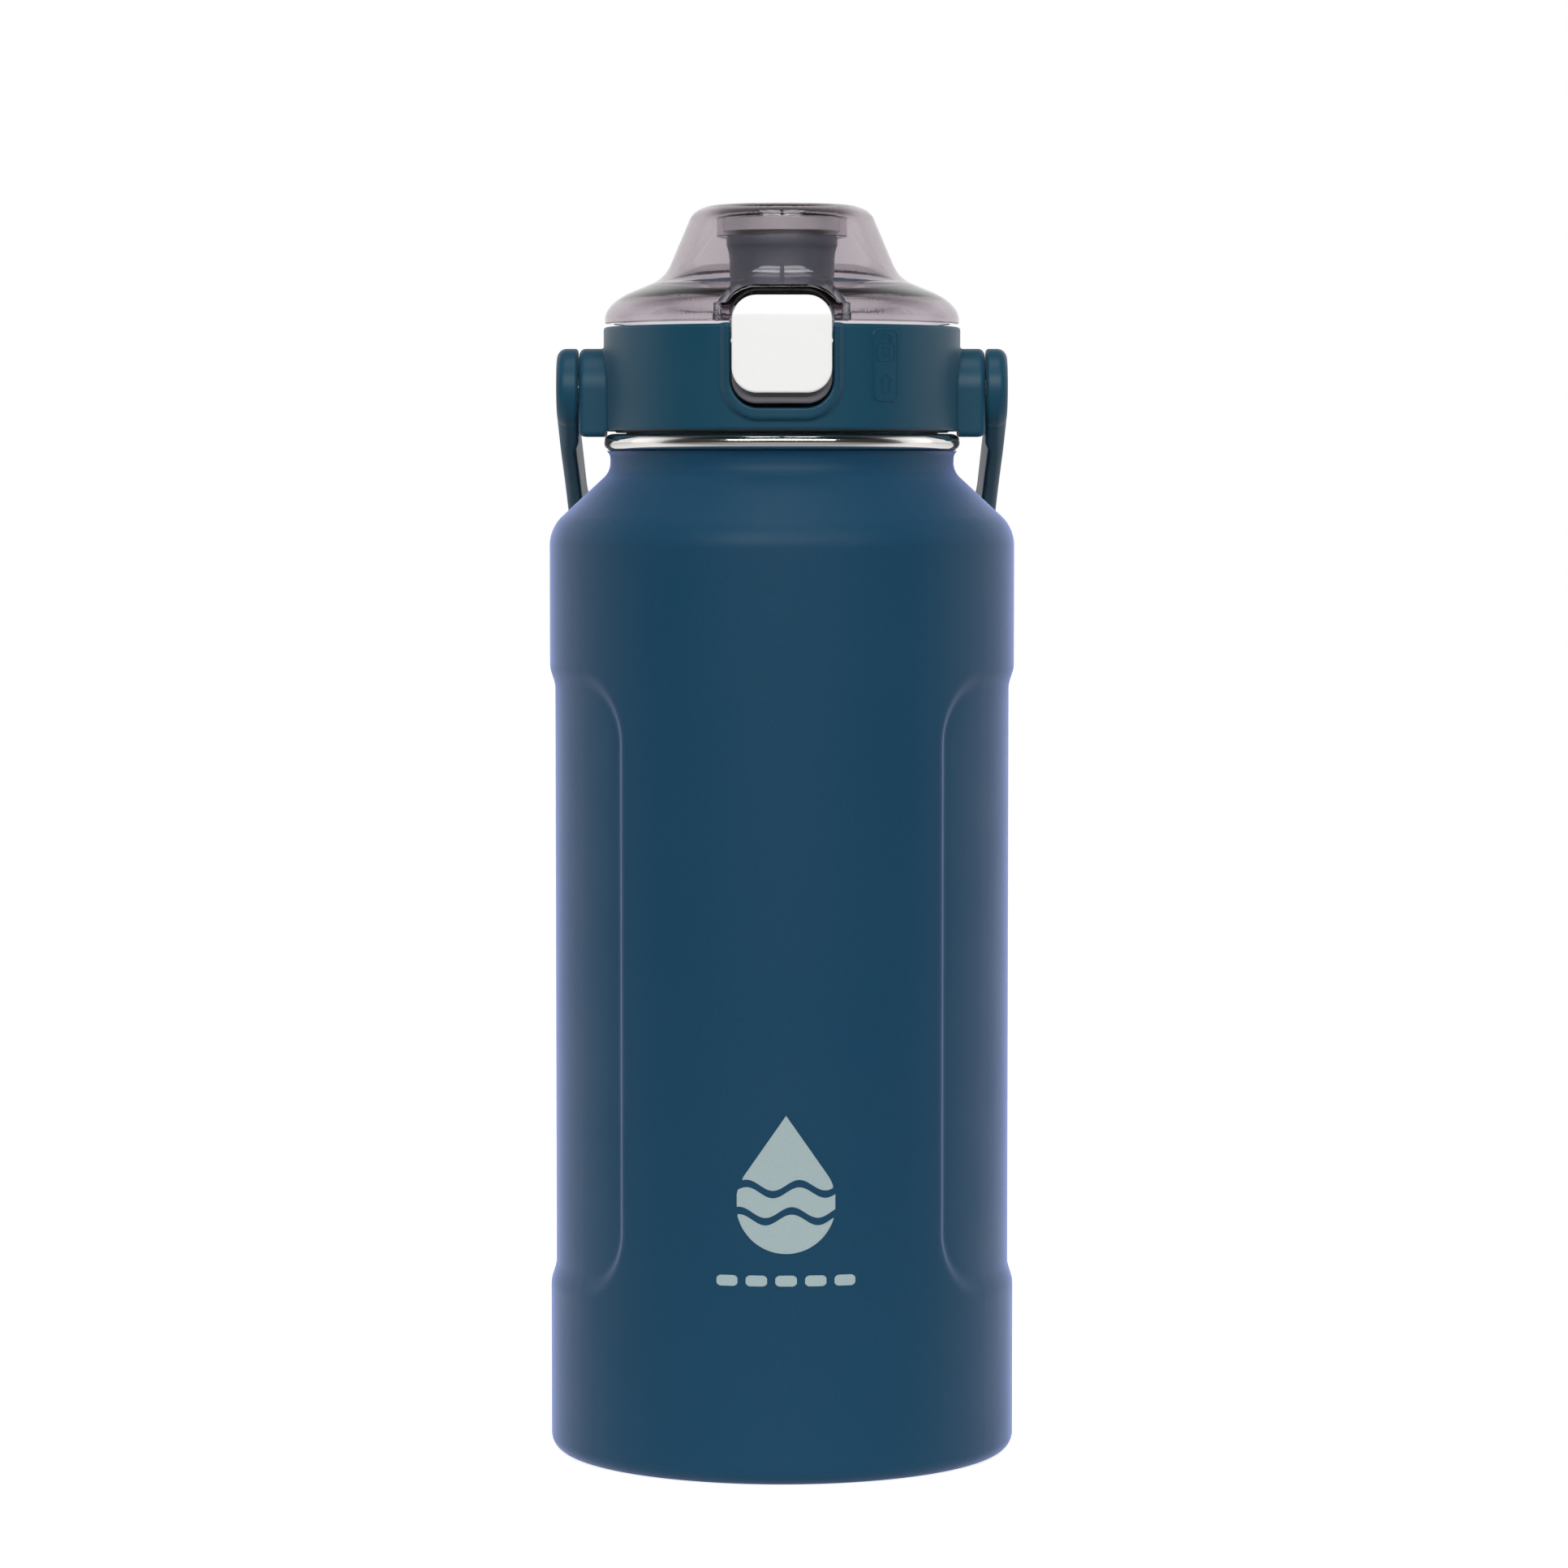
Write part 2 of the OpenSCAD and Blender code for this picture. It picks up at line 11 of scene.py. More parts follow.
import bpy
import numpy as np
from mathutils import Matrix, Vector

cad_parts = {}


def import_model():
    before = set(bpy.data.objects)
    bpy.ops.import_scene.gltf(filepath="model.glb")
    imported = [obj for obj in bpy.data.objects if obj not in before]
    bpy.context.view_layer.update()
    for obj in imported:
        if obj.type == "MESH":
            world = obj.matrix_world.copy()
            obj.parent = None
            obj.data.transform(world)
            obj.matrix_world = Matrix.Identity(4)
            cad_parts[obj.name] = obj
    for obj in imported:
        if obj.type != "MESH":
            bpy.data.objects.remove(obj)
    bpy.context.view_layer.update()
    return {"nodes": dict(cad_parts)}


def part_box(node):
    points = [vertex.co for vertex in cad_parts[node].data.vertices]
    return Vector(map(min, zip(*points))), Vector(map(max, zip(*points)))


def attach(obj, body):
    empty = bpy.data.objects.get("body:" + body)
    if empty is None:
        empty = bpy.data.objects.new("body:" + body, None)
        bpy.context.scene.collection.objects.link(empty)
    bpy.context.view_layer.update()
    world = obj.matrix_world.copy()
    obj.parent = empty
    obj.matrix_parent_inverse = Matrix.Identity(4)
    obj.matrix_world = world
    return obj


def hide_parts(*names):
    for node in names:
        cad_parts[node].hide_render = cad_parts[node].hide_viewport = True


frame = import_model()

MM = 0.001


# ---- sizes, from the frame ----

def corners(node):
    """Lowest and highest corner of a CAD node, in millimetres."""
    lo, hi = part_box(node)
    return np.array(lo) / MM, np.array(hi) / MM


shell_hi = corners("outer_shell")[1]
ring_hi = corners("neck_ring")[1]
housing_lo, housing_hi = corners("lid_housing")
cap_lo, cap_hi = corners("clear_cap")
spout_hi = corners("spout")[1]
button_lo = corners("push_button")[0]
slider_lo, slider_hi = corners("lock_slider")
pin_lo, pin_hi = corners("pivot_pin_right")
knuckle_pin_lo, knuckle_pin_hi = corners("hinge_pin")

# bottle
BODY_R = shell_hi[0]
RING_Z = shell_hi[2]
SHELL_T = 0.8
FOOT_R = 50.0
NECK_R = 42.2
PRINT_T = 0.05
RING_R = ring_hi[0]
MOUTH_Z = ring_hi[2]
SIDE_H = MOUTH_Z - 27.4

# grip panels
GRIP_DEPTH = 1.3
GRIP_LOW = 44.0
GRIP_HIGH = SIDE_H - 32.0
GRIP_HALF = math.radians(47)
GRIP_CORNER = 15.0

# lid housing
BOSS_X = housing_hi[0]
FRAME_R = -housing_lo[1]
BAND_R = FRAME_R - 1.4
BAND_IN = BAND_R - 2.6
BAND_Z = MOUTH_Z + 0.8
HINGE_R = 3.2
HINGE_PIN_R = (knuckle_pin_hi[2] - knuckle_pin_lo[2]) / 2
HINGE_Y = (knuckle_pin_lo[1] + knuckle_pin_hi[1]) / 2
HINGE_Z = (knuckle_pin_lo[2] + knuckle_pin_hi[2]) / 2
BAND_TOP = HINGE_Z + 0.6
DECK_TOP = BAND_TOP - 1.7
DECK_Z = DECK_TOP - 2.6
FRAME_HALF_W = 14.3
FRAME_Z = BAND_Z + 2.4
PIVOT_Z = (pin_lo[2] + pin_hi[2]) / 2
BOSS_R = 10.0
BOSS_Z = BAND_Z - 1.5
PIN_R = 3.0
PIN_END = pin_hi[0]
EAR_X = (8.0, 12.0)
PLAQUE_AT = math.radians(34.5)
PLAQUE_R = BAND_R + 0.25

# pocket, button and slider
POCKET_HALF_W = 12.3
POCKET_Z = MOUTH_Z + 6.0
POCKET_BACK = -31.0
POCKET_ROUND = 6.7
BUTTON_HALF_W = slider_hi[0]
BUTTON_ROUND = 6.0
BUTTON_FRONT = button_lo[1]
BUTTON_Z = button_lo[2]
BUTTON_H = slider_hi[2] - slider_lo[2]
SLIDER_FRONT = slider_lo[1]
SLIDER_Z = slider_lo[2]

# spout and cap
TUBE_R = 9.9
SPOUT_R = 12.85
LIP_TOP = spout_hi[2]
CAP_Z = BAND_TOP + 0.7
CAP_R = 43.5
CAP_TOP = cap_hi[2]
HOOD_HALF_W = 14.7
HOOD_IN = 12.3
HOOD_TOP = CAP_Z + 8.5
HOOD_FRONT = cap_lo[1]
HOOD_T = 1.5
BAR_Y = (-38.5, -36.5)
COLLAR_Z = CAP_Z + 21.0

# handle
EYE_X = 50.0
EYE_T = 5.3
REACH = 86.0
CORNER_R = 43.0
HANDLE_ANGLE = 51.0
LEAN = math.radians(2.4)
STRAP_T = 4.0
STRAP_W = 15.0

# Size of the grid's cells for the moulded pieces: coarser while trying things
FINE = 1.0


# ---- distance fields ----

def union(a, b, r=0.0):
    """Both shapes together, with a fillet of radius r where they meet."""
    if np.isscalar(r) and r == 0:
        return np.minimum(a, b)
    return np.maximum(r, np.minimum(a, b)) - np.hypot(np.maximum(r - a, 0), np.maximum(r - b, 0))


def both(a, b, r=0.0):
    """What the shapes share, with its edge rounded to radius r."""
    return -union(-a, -b, r)


def cut(a, b, r=0.0):
    """Shape a without shape b, with the edges of the cut rounded."""
    return both(a, -b, r)


def slab(v, low, high):
    """Distance field of everything between low and high."""
    return np.maximum(low - v, v - high)


def round_rect(u, v, u0, u1, v0, v1, r_low, r_high):
    """Rectangle with round corners: radius r_low along v0 and r_high along v1."""
    r = np.where(v < (v0 + v1) / 2, r_low, r_high)
    a = np.abs(u - (u0 + u1) / 2) - (u1 - u0) / 2 + r
    b = np.abs(v - (v0 + v1) / 2) - (v1 - v0) / 2 + r
    return np.minimum(np.maximum(a, b), 0) + np.hypot(np.maximum(a, 0), np.maximum(b, 0)) - r


def outline_field(points):
    """Distance field of a closed outline in two coordinates."""
    ends = list(zip(points, points[1:] + points[:1]))

    def distance(u, v):
        """Signed distance of the points (u, v) from the outline."""
        nearest = np.full(np.shape(u), 1e9)
        inside = np.zeros(np.shape(u), bool)
        for (u0, v0), (u1, v1) in ends:
            du, dv = u1 - u0, v1 - v0
            t = np.clip(((u - u0) * du + (v - v0) * dv) / (du * du + dv * dv), 0, 1)
            nearest = np.minimum(nearest, (u - u0 - t * du) ** 2 + (v - v0 - t * dv) ** 2)
            if dv != 0:
                inside ^= ((v0 > v) != (v1 > v)) & (u < (v - v0) * du / dv + u0)
        return np.where(inside, -1, 1) * np.sqrt(nearest)

    return distance


# ---- meshes ----

def add_piece(name, points, faces, body, material, normals=None, replaces=(), smooth=True):
    """A mesh object from points in millimetres and faces of equal size, riding on a body."""
    faces = np.asarray(faces, np.int32)
    mesh = bpy.data.meshes.new(name)
    mesh.vertices.add(len(points))
    mesh.vertices.foreach_set("co", (np.asarray(points) * MM).astype(np.float32).ravel())
    mesh.loops.add(faces.size)
    mesh.loops.foreach_set("vertex_index", faces.ravel())
    mesh.polygons.add(len(faces))
    mesh.polygons.foreach_set("loop_start", np.arange(0, faces.size, faces.shape[1], dtype=np.int32))
    mesh.polygons.foreach_set("use_smooth", np.full(len(faces), smooth))
    mesh.update(calc_edges=True)
    if normals is not None:
        mesh.normals_split_custom_set_from_vertices(normals.tolist())
    mesh.materials.append(material)
    piece = bpy.data.objects.new(name, mesh)
    bpy.context.scene.collection.objects.link(piece)
    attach(piece, body)
    if replaces:
        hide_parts(*replaces)
    return piece


def grid_values(field, lo, counts, cell, block=4):
    """The field at each grid point: exact near the surface, and of the right sign elsewhere."""
    blocks = [-(-count // block) for count in counts]
    centres = [lo[a] + cell * (block * np.arange(blocks[a]) + (block - 1) / 2) for a in range(3)]
    coarse = field(*np.meshgrid(*centres, indexing="ij"))
    values = coarse.repeat(block, 0).repeat(block, 1).repeat(block, 2)
    near = np.argwhere(np.abs(coarse) < 1.3 * cell * block)
    within = np.indices((block,) * 3).reshape(3, 1, -1)
    index = near.T[:, :, None] * block + within
    values[tuple(index)] = field(*(lo[a] + cell * index[a] for a in range(3)))
    return values


def gradient(field, points, h=0.06):
    """Direction in which the field grows, at each point."""
    steps = []
    for a in range(3):
        d = np.zeros(3)
        d[a] = h
        steps.append((field(*(points + d).T) - field(*(points - d).T)) / (2 * h))
    return np.stack(steps, 1)


def surface(field, lo, hi, cell):
    """Closed mesh of the field's surface: points, four-sided faces and the points' normals."""
    lo = np.array(lo, float)
    counts = [int(math.ceil((h - l) / cell)) + 1 for l, h in zip(lo, hi)]
    values = grid_values(field, lo, counts, cell)
    inside = values < 0
    n0, n1, n2 = values.shape
    corner_sum = np.zeros((n0 - 1, n1 - 1, n2 - 1), np.int8)
    for i, j, k in itertools.product((0, 1), repeat=3):
        corner_sum += inside[i:n0 - 1 + i, j:n1 - 1 + j, k:n2 - 1 + k]
    mixed = (corner_sum > 0) & (corner_sum < 8)
    cells = np.argwhere(mixed)
    number = np.full(mixed.shape, -1, np.int32)
    number[mixed] = np.arange(len(cells))

    # one vertex in each cell that the surface crosses, at the middle of its crossings
    total = np.zeros((len(cells), 3))
    hits = np.zeros(len(cells))
    unit = np.eye(3, dtype=int)
    for a in range(3):
        b, c = (a + 1) % 3, (a + 2) % 3
        for j, k in itertools.product((0, 1), repeat=2):
            start = cells + j * unit[b] + k * unit[c]
            v0 = values[tuple(start.T)]
            v1 = values[tuple((start + unit[a]).T)]
            crossed = (v0 < 0) != (v1 < 0)
            share = v0[crossed] / (v0[crossed] - v1[crossed])
            total[crossed] += start[crossed] + share[:, None] * unit[a]
            hits[crossed] += 1
    points = lo + cell * total / hits[:, None]
    for _ in range(3):
        g = gradient(field, points)
        move = g * (field(*points.T) / np.maximum((g * g).sum(1), 0.25))[:, None]
        length = np.linalg.norm(move, axis=1, keepdims=True)
        points = points - move * np.minimum(1, 0.4 * cell / np.maximum(length, 1e-9))

    # one face across each grid edge that the surface crosses
    faces = []
    for a in range(3):
        b, c = (a + 1) % 3, (a + 2) % 3
        first = np.moveaxis(inside, a, 0)[:-1]
        second = np.moveaxis(inside, a, 0)[1:]
        at = np.argwhere(first != second)
        outward = first[tuple(at.T)]
        at = at[:, [1, 0, 2]] if a == 1 else at[:, [1, 2, 0]] if a == 2 else at
        ring = [at - unit[b] - unit[c], at - unit[c], at, at - unit[b]]
        quad = np.stack([number[tuple(r.T)] for r in ring], 1)
        faces.append(np.where(outward[:, None], quad, quad[:, ::-1]))
    faces = np.concatenate(faces)
    normals = gradient(field, points, 0.12)
    normals /= np.linalg.norm(normals, axis=1, keepdims=True)
    return points, faces, normals


def mould(name, field, lo, hi, cell, body, material, replaces):
    """Moulded piece from its distance field."""
    points, faces, normals = surface(field, lo, hi, cell * FINE)
    return add_piece(name, points, faces, body, material, normals, replaces)


def arc(centre, r, a0, a1, n):
    """Points of an arc, from angle a0 to a1 in degrees."""
    angles = np.radians(np.linspace(a0, a1, n + 1))
    return [(centre[0] + r * math.cos(t), centre[1] + r * math.sin(t)) for t in angles]


def bend(a, b, c, n=16):
    """Points of a smooth bend from a to c, whose ends point at b."""
    return [tuple((1 - t) ** 2 * np.array(a) + 2 * t * (1 - t) * np.array(b) + t * t * np.array(c))
            for t in np.linspace(0, 1, n + 1)]


def loop_faces(rows, columns, closed_rows=True):
    """Faces of a grid of rows by columns whose columns, and usually rows, close on themselves."""
    i, j = np.meshgrid(np.arange(rows if closed_rows else rows - 1), np.arange(columns), indexing="ij")
    i, j = i.ravel(), j.ravel()
    down, right = (i + 1) % rows, (j + 1) % columns
    near, far = i * columns, down * columns
    return np.stack([near + j, near + right, far + right, far + j], 1)


def lathe(name, outline, body, material, replaces, sides=144):
    """Ring turned from a closed outline of (radius, height), which runs anticlockwise."""
    angles = np.linspace(0, 2 * math.pi, sides, endpoint=False)
    r = np.array([p[0] for p in outline])[:, None]
    z = np.array([p[1] for p in outline])[:, None]
    points = np.stack(np.broadcast_arrays(r * np.cos(angles), r * np.sin(angles), z), -1).reshape(-1, 3)
    piece = add_piece(name, points, loop_faces(len(outline), sides), body, material,
                      replaces=replaces)
    soften(piece)
    return piece


def soften(piece, angle=35):
    """Smooth shading, apart from edges sharper than the angle in degrees."""
    piece.data.set_sharp_from_angle(angle=math.radians(angle))


def wrap(across, up, r, azimuth):
    """Points on a cylinder: how far to the right of an azimuth from the front, and how high."""
    turn = azimuth + np.asarray(across) / r
    return np.stack(np.broadcast_arrays(r * np.sin(turn), -r * np.cos(turn), up), -1)


def bars(name, parts, body, material):
    """Mesh of bars, each given as rows of four corners and whether its ends meet."""
    points, faces, count = [], [], 0
    for rows, closed in parts:
        own = loop_faces(len(rows), 4, closed)
        if not closed:
            last = 4 * len(rows)
            own = np.concatenate([own, [[3, 2, 1, 0], [last - 4, last - 3, last - 2, last - 1]]])
        place_at = np.reshape(rows, (-1, 3))
        a, b, c, d = (place_at[own[:, k]] for k in range(4))
        volume = (np.cross(b - a, c - a) * a).sum() + (np.cross(c - a, d - a) * a).sum()
        faces.append(count + (own if volume > 0 else own[:, ::-1]))
        points.append(place_at)
        count += len(place_at)
    piece = add_piece(name, np.concatenate(points), np.concatenate(faces), body, material)
    soften(piece)
    return piece


# ---- materials ----

def new_material(name, **values):
    """Material with a Principled shader whose sockets have these values, and its node tree."""
    made = bpy.data.materials.new(name)
    made.use_nodes = True
    shader = made.node_tree.nodes["Principled BSDF"]
    for key, value in values.items():
        socket = shader.inputs[key.replace("_", " ")]
        socket.default_value = (*value, 1.0) if isinstance(value, tuple) else value
    return made, made.node_tree, shader


def place(tree, stretch=(1, 1, 1)):
    """Object coordinates, stretched."""
    nodes = tree.nodes
    coords = nodes.new("ShaderNodeTexCoord")
    mapping = nodes.new("ShaderNodeMapping")
    mapping.inputs["Scale"].default_value = stretch
    tree.links.new(coords.outputs["Object"], mapping.inputs["Vector"])
    return mapping.outputs["Vector"]


def noise(tree, scale, detail=2.0, roughness=0.5, stretch=(1, 1, 1)):
    """Noise in the object's own coordinates; scale is in cells to the metre."""
    made = tree.nodes.new("ShaderNodeTexNoise")
    made.inputs["Scale"].default_value = scale
    made.inputs["Detail"].default_value = detail
    made.inputs["Roughness"].default_value = roughness
    tree.links.new(place(tree, stretch), made.inputs["Vector"])
    return made.outputs["Fac"]


def spread(tree, source, low, high, from_low=0.3, from_high=0.7):
    """Source, mapped onto the range from low to high."""
    made = tree.nodes.new("ShaderNodeMapRange")
    made.inputs["From Min"].default_value = from_low
    made.inputs["From Max"].default_value = from_high
    made.inputs["To Min"].default_value = low
    made.inputs["To Max"].default_value = high
    tree.links.new(source, made.inputs["Value"])
    return made.outputs["Result"]


def tint(tree, source, dark, light):
    """Colour between dark and light."""
    made = tree.nodes.new("ShaderNodeMix")
    made.data_type = "RGBA"
    made.inputs["A"].default_value = (*dark, 1)
    made.inputs["B"].default_value = (*light, 1)
    tree.links.new(source, made.inputs["Factor"])
    return made.outputs["Result"]


def bump(tree, shader, height, strength, distance):
    """Bump of the given real depth, in metres."""
    made = tree.nodes.new("ShaderNodeBump")
    made.inputs["Strength"].default_value = strength
    made.inputs["Distance"].default_value = distance
    tree.links.new(height, made.inputs["Height"])
    tree.links.new(made.outputs["Normal"], shader.inputs["Normal"])


def grained(name, colour, roughness, grain, depth, vary=0.08, **values):
    """Coated or moulded surface: fine grain, and slight changes of colour and gloss over it."""
    made, tree, shader = new_material(name, **values)
    soft = noise(tree, 45, 3)
    fine = noise(tree, grain, 3, 0.6)
    dark = tuple(c * (1 - vary) for c in colour)
    light = tuple(c * (1 + vary) for c in colour)
    tree.links.new(tint(tree, spread(tree, fine, 0, 1), dark, light), shader.inputs["Base Color"])
    tree.links.new(spread(tree, soft, roughness - 0.04, roughness + 0.04), shader.inputs["Roughness"])
    bump(tree, shader, fine, 0.5, depth)
    return made


def brushed(name, colour, roughness, along, depth=0.00001):
    """Steel with fine lines; along is the stretch that makes the noise into lines."""
    made, tree, shader = new_material(name, Metallic=1.0)
    lines = noise(tree, 900, 2, 0.6, along)
    dark = tuple(c * 0.9 for c in colour)
    tree.links.new(tint(tree, spread(tree, lines, 0, 1), dark, colour), shader.inputs["Base Color"])
    tree.links.new(spread(tree, lines, roughness - 0.05, roughness + 0.06), shader.inputs["Roughness"])
    bump(tree, shader, lines, 0.4, depth)
    return made


def smoked(name, colour, density, roughness):
    """Clear plastic that darkens with the path through it: faint flow marks in its gloss."""
    made, tree, shader = new_material(name, Base_Color=(1.0, 1.0, 1.0), Transmission_Weight=1.0,
                                      IOR=1.49)
    inside = tree.nodes.new("ShaderNodeVolumeAbsorption")
    inside.inputs["Color"].default_value = (*colour, 1)
    inside.inputs["Density"].default_value = density
    tree.links.new(inside.outputs["Volume"], tree.nodes["Material Output"].inputs["Volume"])
    soft = noise(tree, 60, 2)
    tree.links.new(spread(tree, soft, roughness * 0.6, roughness * 1.4), shader.inputs["Roughness"])
    bump(tree, shader, soft, 0.05, 0.00002)
    return made


POWDER = grained("powder_coat", (0.003, 0.047, 0.097), 0.52, 2600, 0.00006, Specular_IOR_Level=0.2,
                 Sheen_Weight=1.0, Sheen_Roughness=0.32, Sheen_Tint=(0.45, 0.54, 1.0))
TEAL = grained("lid_plastic", (0.0036, 0.052, 0.092), 0.45, 3200, 0.00003, Specular_IOR_Level=0.25,
                Sheen_Weight=0.12, Sheen_Roughness=0.35, Sheen_Tint=(0.7, 0.8, 1.0))
SLIDER_WHITE = grained("slider_plastic", (0.90, 0.895, 0.88), 0.24, 1500, 0.00001, vary=0.01,
                       Coat_Weight=0.3, Coat_Roughness=0.08)
BUTTON_GREY = grained("button_plastic", (0.11, 0.105, 0.118), 0.42, 3000, 0.00003)
INNER_WHITE = grained("inner_plastic", (0.83, 0.83, 0.81), 0.38, 2600, 0.00002, vary=0.015)
SLATE = grained("dark_silicone", (0.064, 0.070, 0.088), 0.50, 2200, 0.00002,
                Sheen_Weight=0.15, Sheen_Roughness=0.5)
CLEAR_SILICONE = grained("clear_silicone", (0.62, 0.62, 0.62), 0.45, 2000, 0.00001, vary=0.02,
                         Transmission_Weight=0.55, IOR=1.41)
SOLDER = grained("solder", (0.10, 0.10, 0.11), 0.35, 1800, 0.00003)
SMOKE = smoked("smoked_plastic", (0.272, 0.141, 0.227), 180.0, 0.03)
POLISHED = brushed("polished_steel", (0.80, 0.78, 0.75), 0.10, (0.02, 0.02, 1.0), 0.000002)
STEEL = brushed("steel", (0.66, 0.645, 0.62), 0.30, (0.03, 0.03, 1.0))
PRINT = grained("print_ink", (0.34, 0.43, 0.44), 0.45, 2600, 0.00002, vary=0.05)


# ---- bottle ----

def smooth_step(t):
    """0 up to t = 0, 1 from t = 1, and a smooth rise in between."""
    t = np.clip(t, 0, 1)
    return t * t * (3 - 2 * t)


def grip_sink(angle, z):
    """How deep the grip panels are sunk at an angle from +X or -X and a height."""
    side = (np.abs(np.abs(angle) - math.pi / 2) * -1 + math.pi / 2) * BODY_R
    across = side - (GRIP_HALF * BODY_R - GRIP_CORNER)
    up = np.abs(z - (GRIP_LOW + GRIP_HIGH) / 2) - ((GRIP_HIGH - GRIP_LOW) / 2 - GRIP_CORNER)
    a, b = np.maximum(across, 0), np.maximum(up, 0)
    distance = np.minimum(np.maximum(across, up), 0) + np.hypot(a, b) - GRIP_CORNER
    steepness = b * b / np.maximum(a * a + b * b, 1e-9)
    width = 2.4 + 3.4 * steepness
    return GRIP_DEPTH * smooth_step(0.5 - distance / width)


def spaced(stops):
    """Values that run through the stops (value, spacing up to the next stop)."""
    made = []
    for (start, gap), (end, _) in zip(stops, stops[1:]):
        count = max(1, int(round((end - start) / gap)))
        made += list(np.linspace(start, end, count, endpoint=False))
    return made + [stops[-1][0]]


def outer_shell():
    """Powder-coated steel shell with the two sunk grip panels."""
    r_out = BODY_R - PRINT_T
    fine = 0.7 * FINE
    straight = spaced([(4, 4), (GRIP_LOW - 6, fine), (GRIP_LOW + GRIP_CORNER + 2, 4),
                       (GRIP_HIGH - GRIP_CORNER - 2, fine), (GRIP_HIGH + 7, 4), (SIDE_H, 4)])

    def wall(t):
        """Outline of the wall at depth t below the outer face, from the foot to the neck."""
        return (arc((BODY_R - 4, 4), r_out - BODY_R + 4 - t, -90, 0, 12)
                + [(r_out - t, z) for z in straight[1:-1]]
                + arc((r_out - 10, SIDE_H), 10 - t, 0, 49, 16)
                + arc((NECK_R + 5, MOUTH_Z - 7), 5 + t, 229, 180, 12)
                + bend((NECK_R - t, RING_Z - 2), (NECK_R - t, RING_Z - 0.7),
                       (NECK_R + 0.9 - t, RING_Z), 6))

    outline = [(FOOT_R, 0.0)] + wall(0) + wall(SHELL_T)[::-1] + [(FOOT_R, SHELL_T)]
    edge = math.degrees(GRIP_HALF)
    corner = math.degrees(GRIP_CORNER / BODY_R)
    quarter = spaced([(0, 3), (edge - corner - 2, 0.8 * FINE), (edge + 2, 3), (90, 3)])[:-1]
    half = quarter + [180 - q for q in quarter[:0:-1]] + [90]
    angles = np.radians(sorted(half + [h + 180 for h in half]))
    turned = (angles + math.pi) % (2 * math.pi) - math.pi
    r = np.array([p[0] for p in outline])[:, None]
    z = np.array([p[1] for p in outline])[:, None]
    from_x = np.abs(turned)[None, :]
    sunk = r - grip_sink(from_x, z) * (r > BODY_R - 3)
    points = np.stack(np.broadcast_arrays(sunk * np.cos(angles), sunk * np.sin(angles), z), -1)
    piece = add_piece("Outer_Shell", points.reshape(-1, 3), loop_faces(len(outline), len(angles)),
                      "bottle", POWDER, replaces=["outer_shell"])
    soften(piece)


def neck_ring():
    """Polished bead round the mouth."""
    half_h = (MOUTH_Z - RING_Z) / 2
    outline = (arc((RING_R - half_h, RING_Z + half_h), half_h, -90, 90, 24)
               + arc((40.8, MOUTH_Z - 0.9), 0.9, 90, 180, 8)
               + arc((40.3, RING_Z + 0.4), 0.4, 180, 270, 5))
    lathe("Neck_Ring", outline, "bottle", POLISHED, ["neck_ring"], 192)


def mouth_gasket():
    """Silicone ring between the mouth and the lid."""
    low, high = MOUTH_Z + 0.3, MOUTH_Z + 1.5
    outline = arc((40.6, low + 0.4), 0.4, -90, 0, 5) + arc((40.6, high - 0.4), 0.4, 0, 90, 5)
    outline += arc((39, high - 0.4), 0.4, 90, 180, 5) + arc((39, low + 0.4), 0.4, 180, 270, 5)
    lathe("Mouth_Gasket", outline, "gasket", SLATE, ["mouth_gasket"])


def blob(across, low, high):
    """Thin patch of print on the body, between two curves of height."""
    there = high - low > 0.15
    rows = [wrap(across, low, BODY_R, 0), wrap(across, high, BODY_R, 0),
            wrap(across, high, BODY_R - 0.12, 0), wrap(across, low, BODY_R - 0.12, 0)]
    return np.stack(rows, 1)[there], False


def body_print():
    """Plain water-drop mark cut by two waves, over a row of dashes."""
    middle, r, centre_z, tip_z = 1.0, 12.0, 68.0, 89.0
    u = np.linspace(-r, r, 121)
    edge = np.sqrt(np.maximum(r * r - u * u, 0))
    tangent_z = r * r / (tip_z - centre_z)
    tangent_u = math.sqrt(r * r - tangent_z ** 2)
    flank = tip_z - np.abs(u) * (tip_z - centre_z - tangent_z) / tangent_u
    top = np.where(np.abs(u) < tangent_u, flank, centre_z + edge)
    bottom = centre_z - edge
    upper, lower = (z + 1.3 * np.sin(u * 0.5 + phase) for z, phase in ((71.5, 0), (65, 0.9)))
    parts = [blob(u + middle, np.maximum(bottom, upper + 0.9), top),
             blob(u + middle, np.maximum(bottom, lower + 0.9), np.minimum(top, upper - 0.9)),
             blob(u + middle, bottom, np.minimum(top, lower - 0.9))]
    dash = np.linspace(-2.7, 2.7, 41)
    height = np.sqrt(np.maximum(1.3 ** 2 - np.maximum(np.abs(dash) - 1.4, 0) ** 2, 0))
    parts += [blob(dash + middle + 7.1 * i, 49.5 - height, 49.5 + height) for i in range(-2, 3)]
    bars("Body_Print", parts, "bottle", PRINT)


# ---- lid ----

ear_web = outline_field([(BAND_IN + 0.6, HINGE_Z - 9), (BAND_R + 0.1, HINGE_Z - 9),
                         (HINGE_Y + 2.6, HINGE_Z - 1), (HINGE_Y, HINGE_Z), (BAND_IN + 0.6, HINGE_Z)])


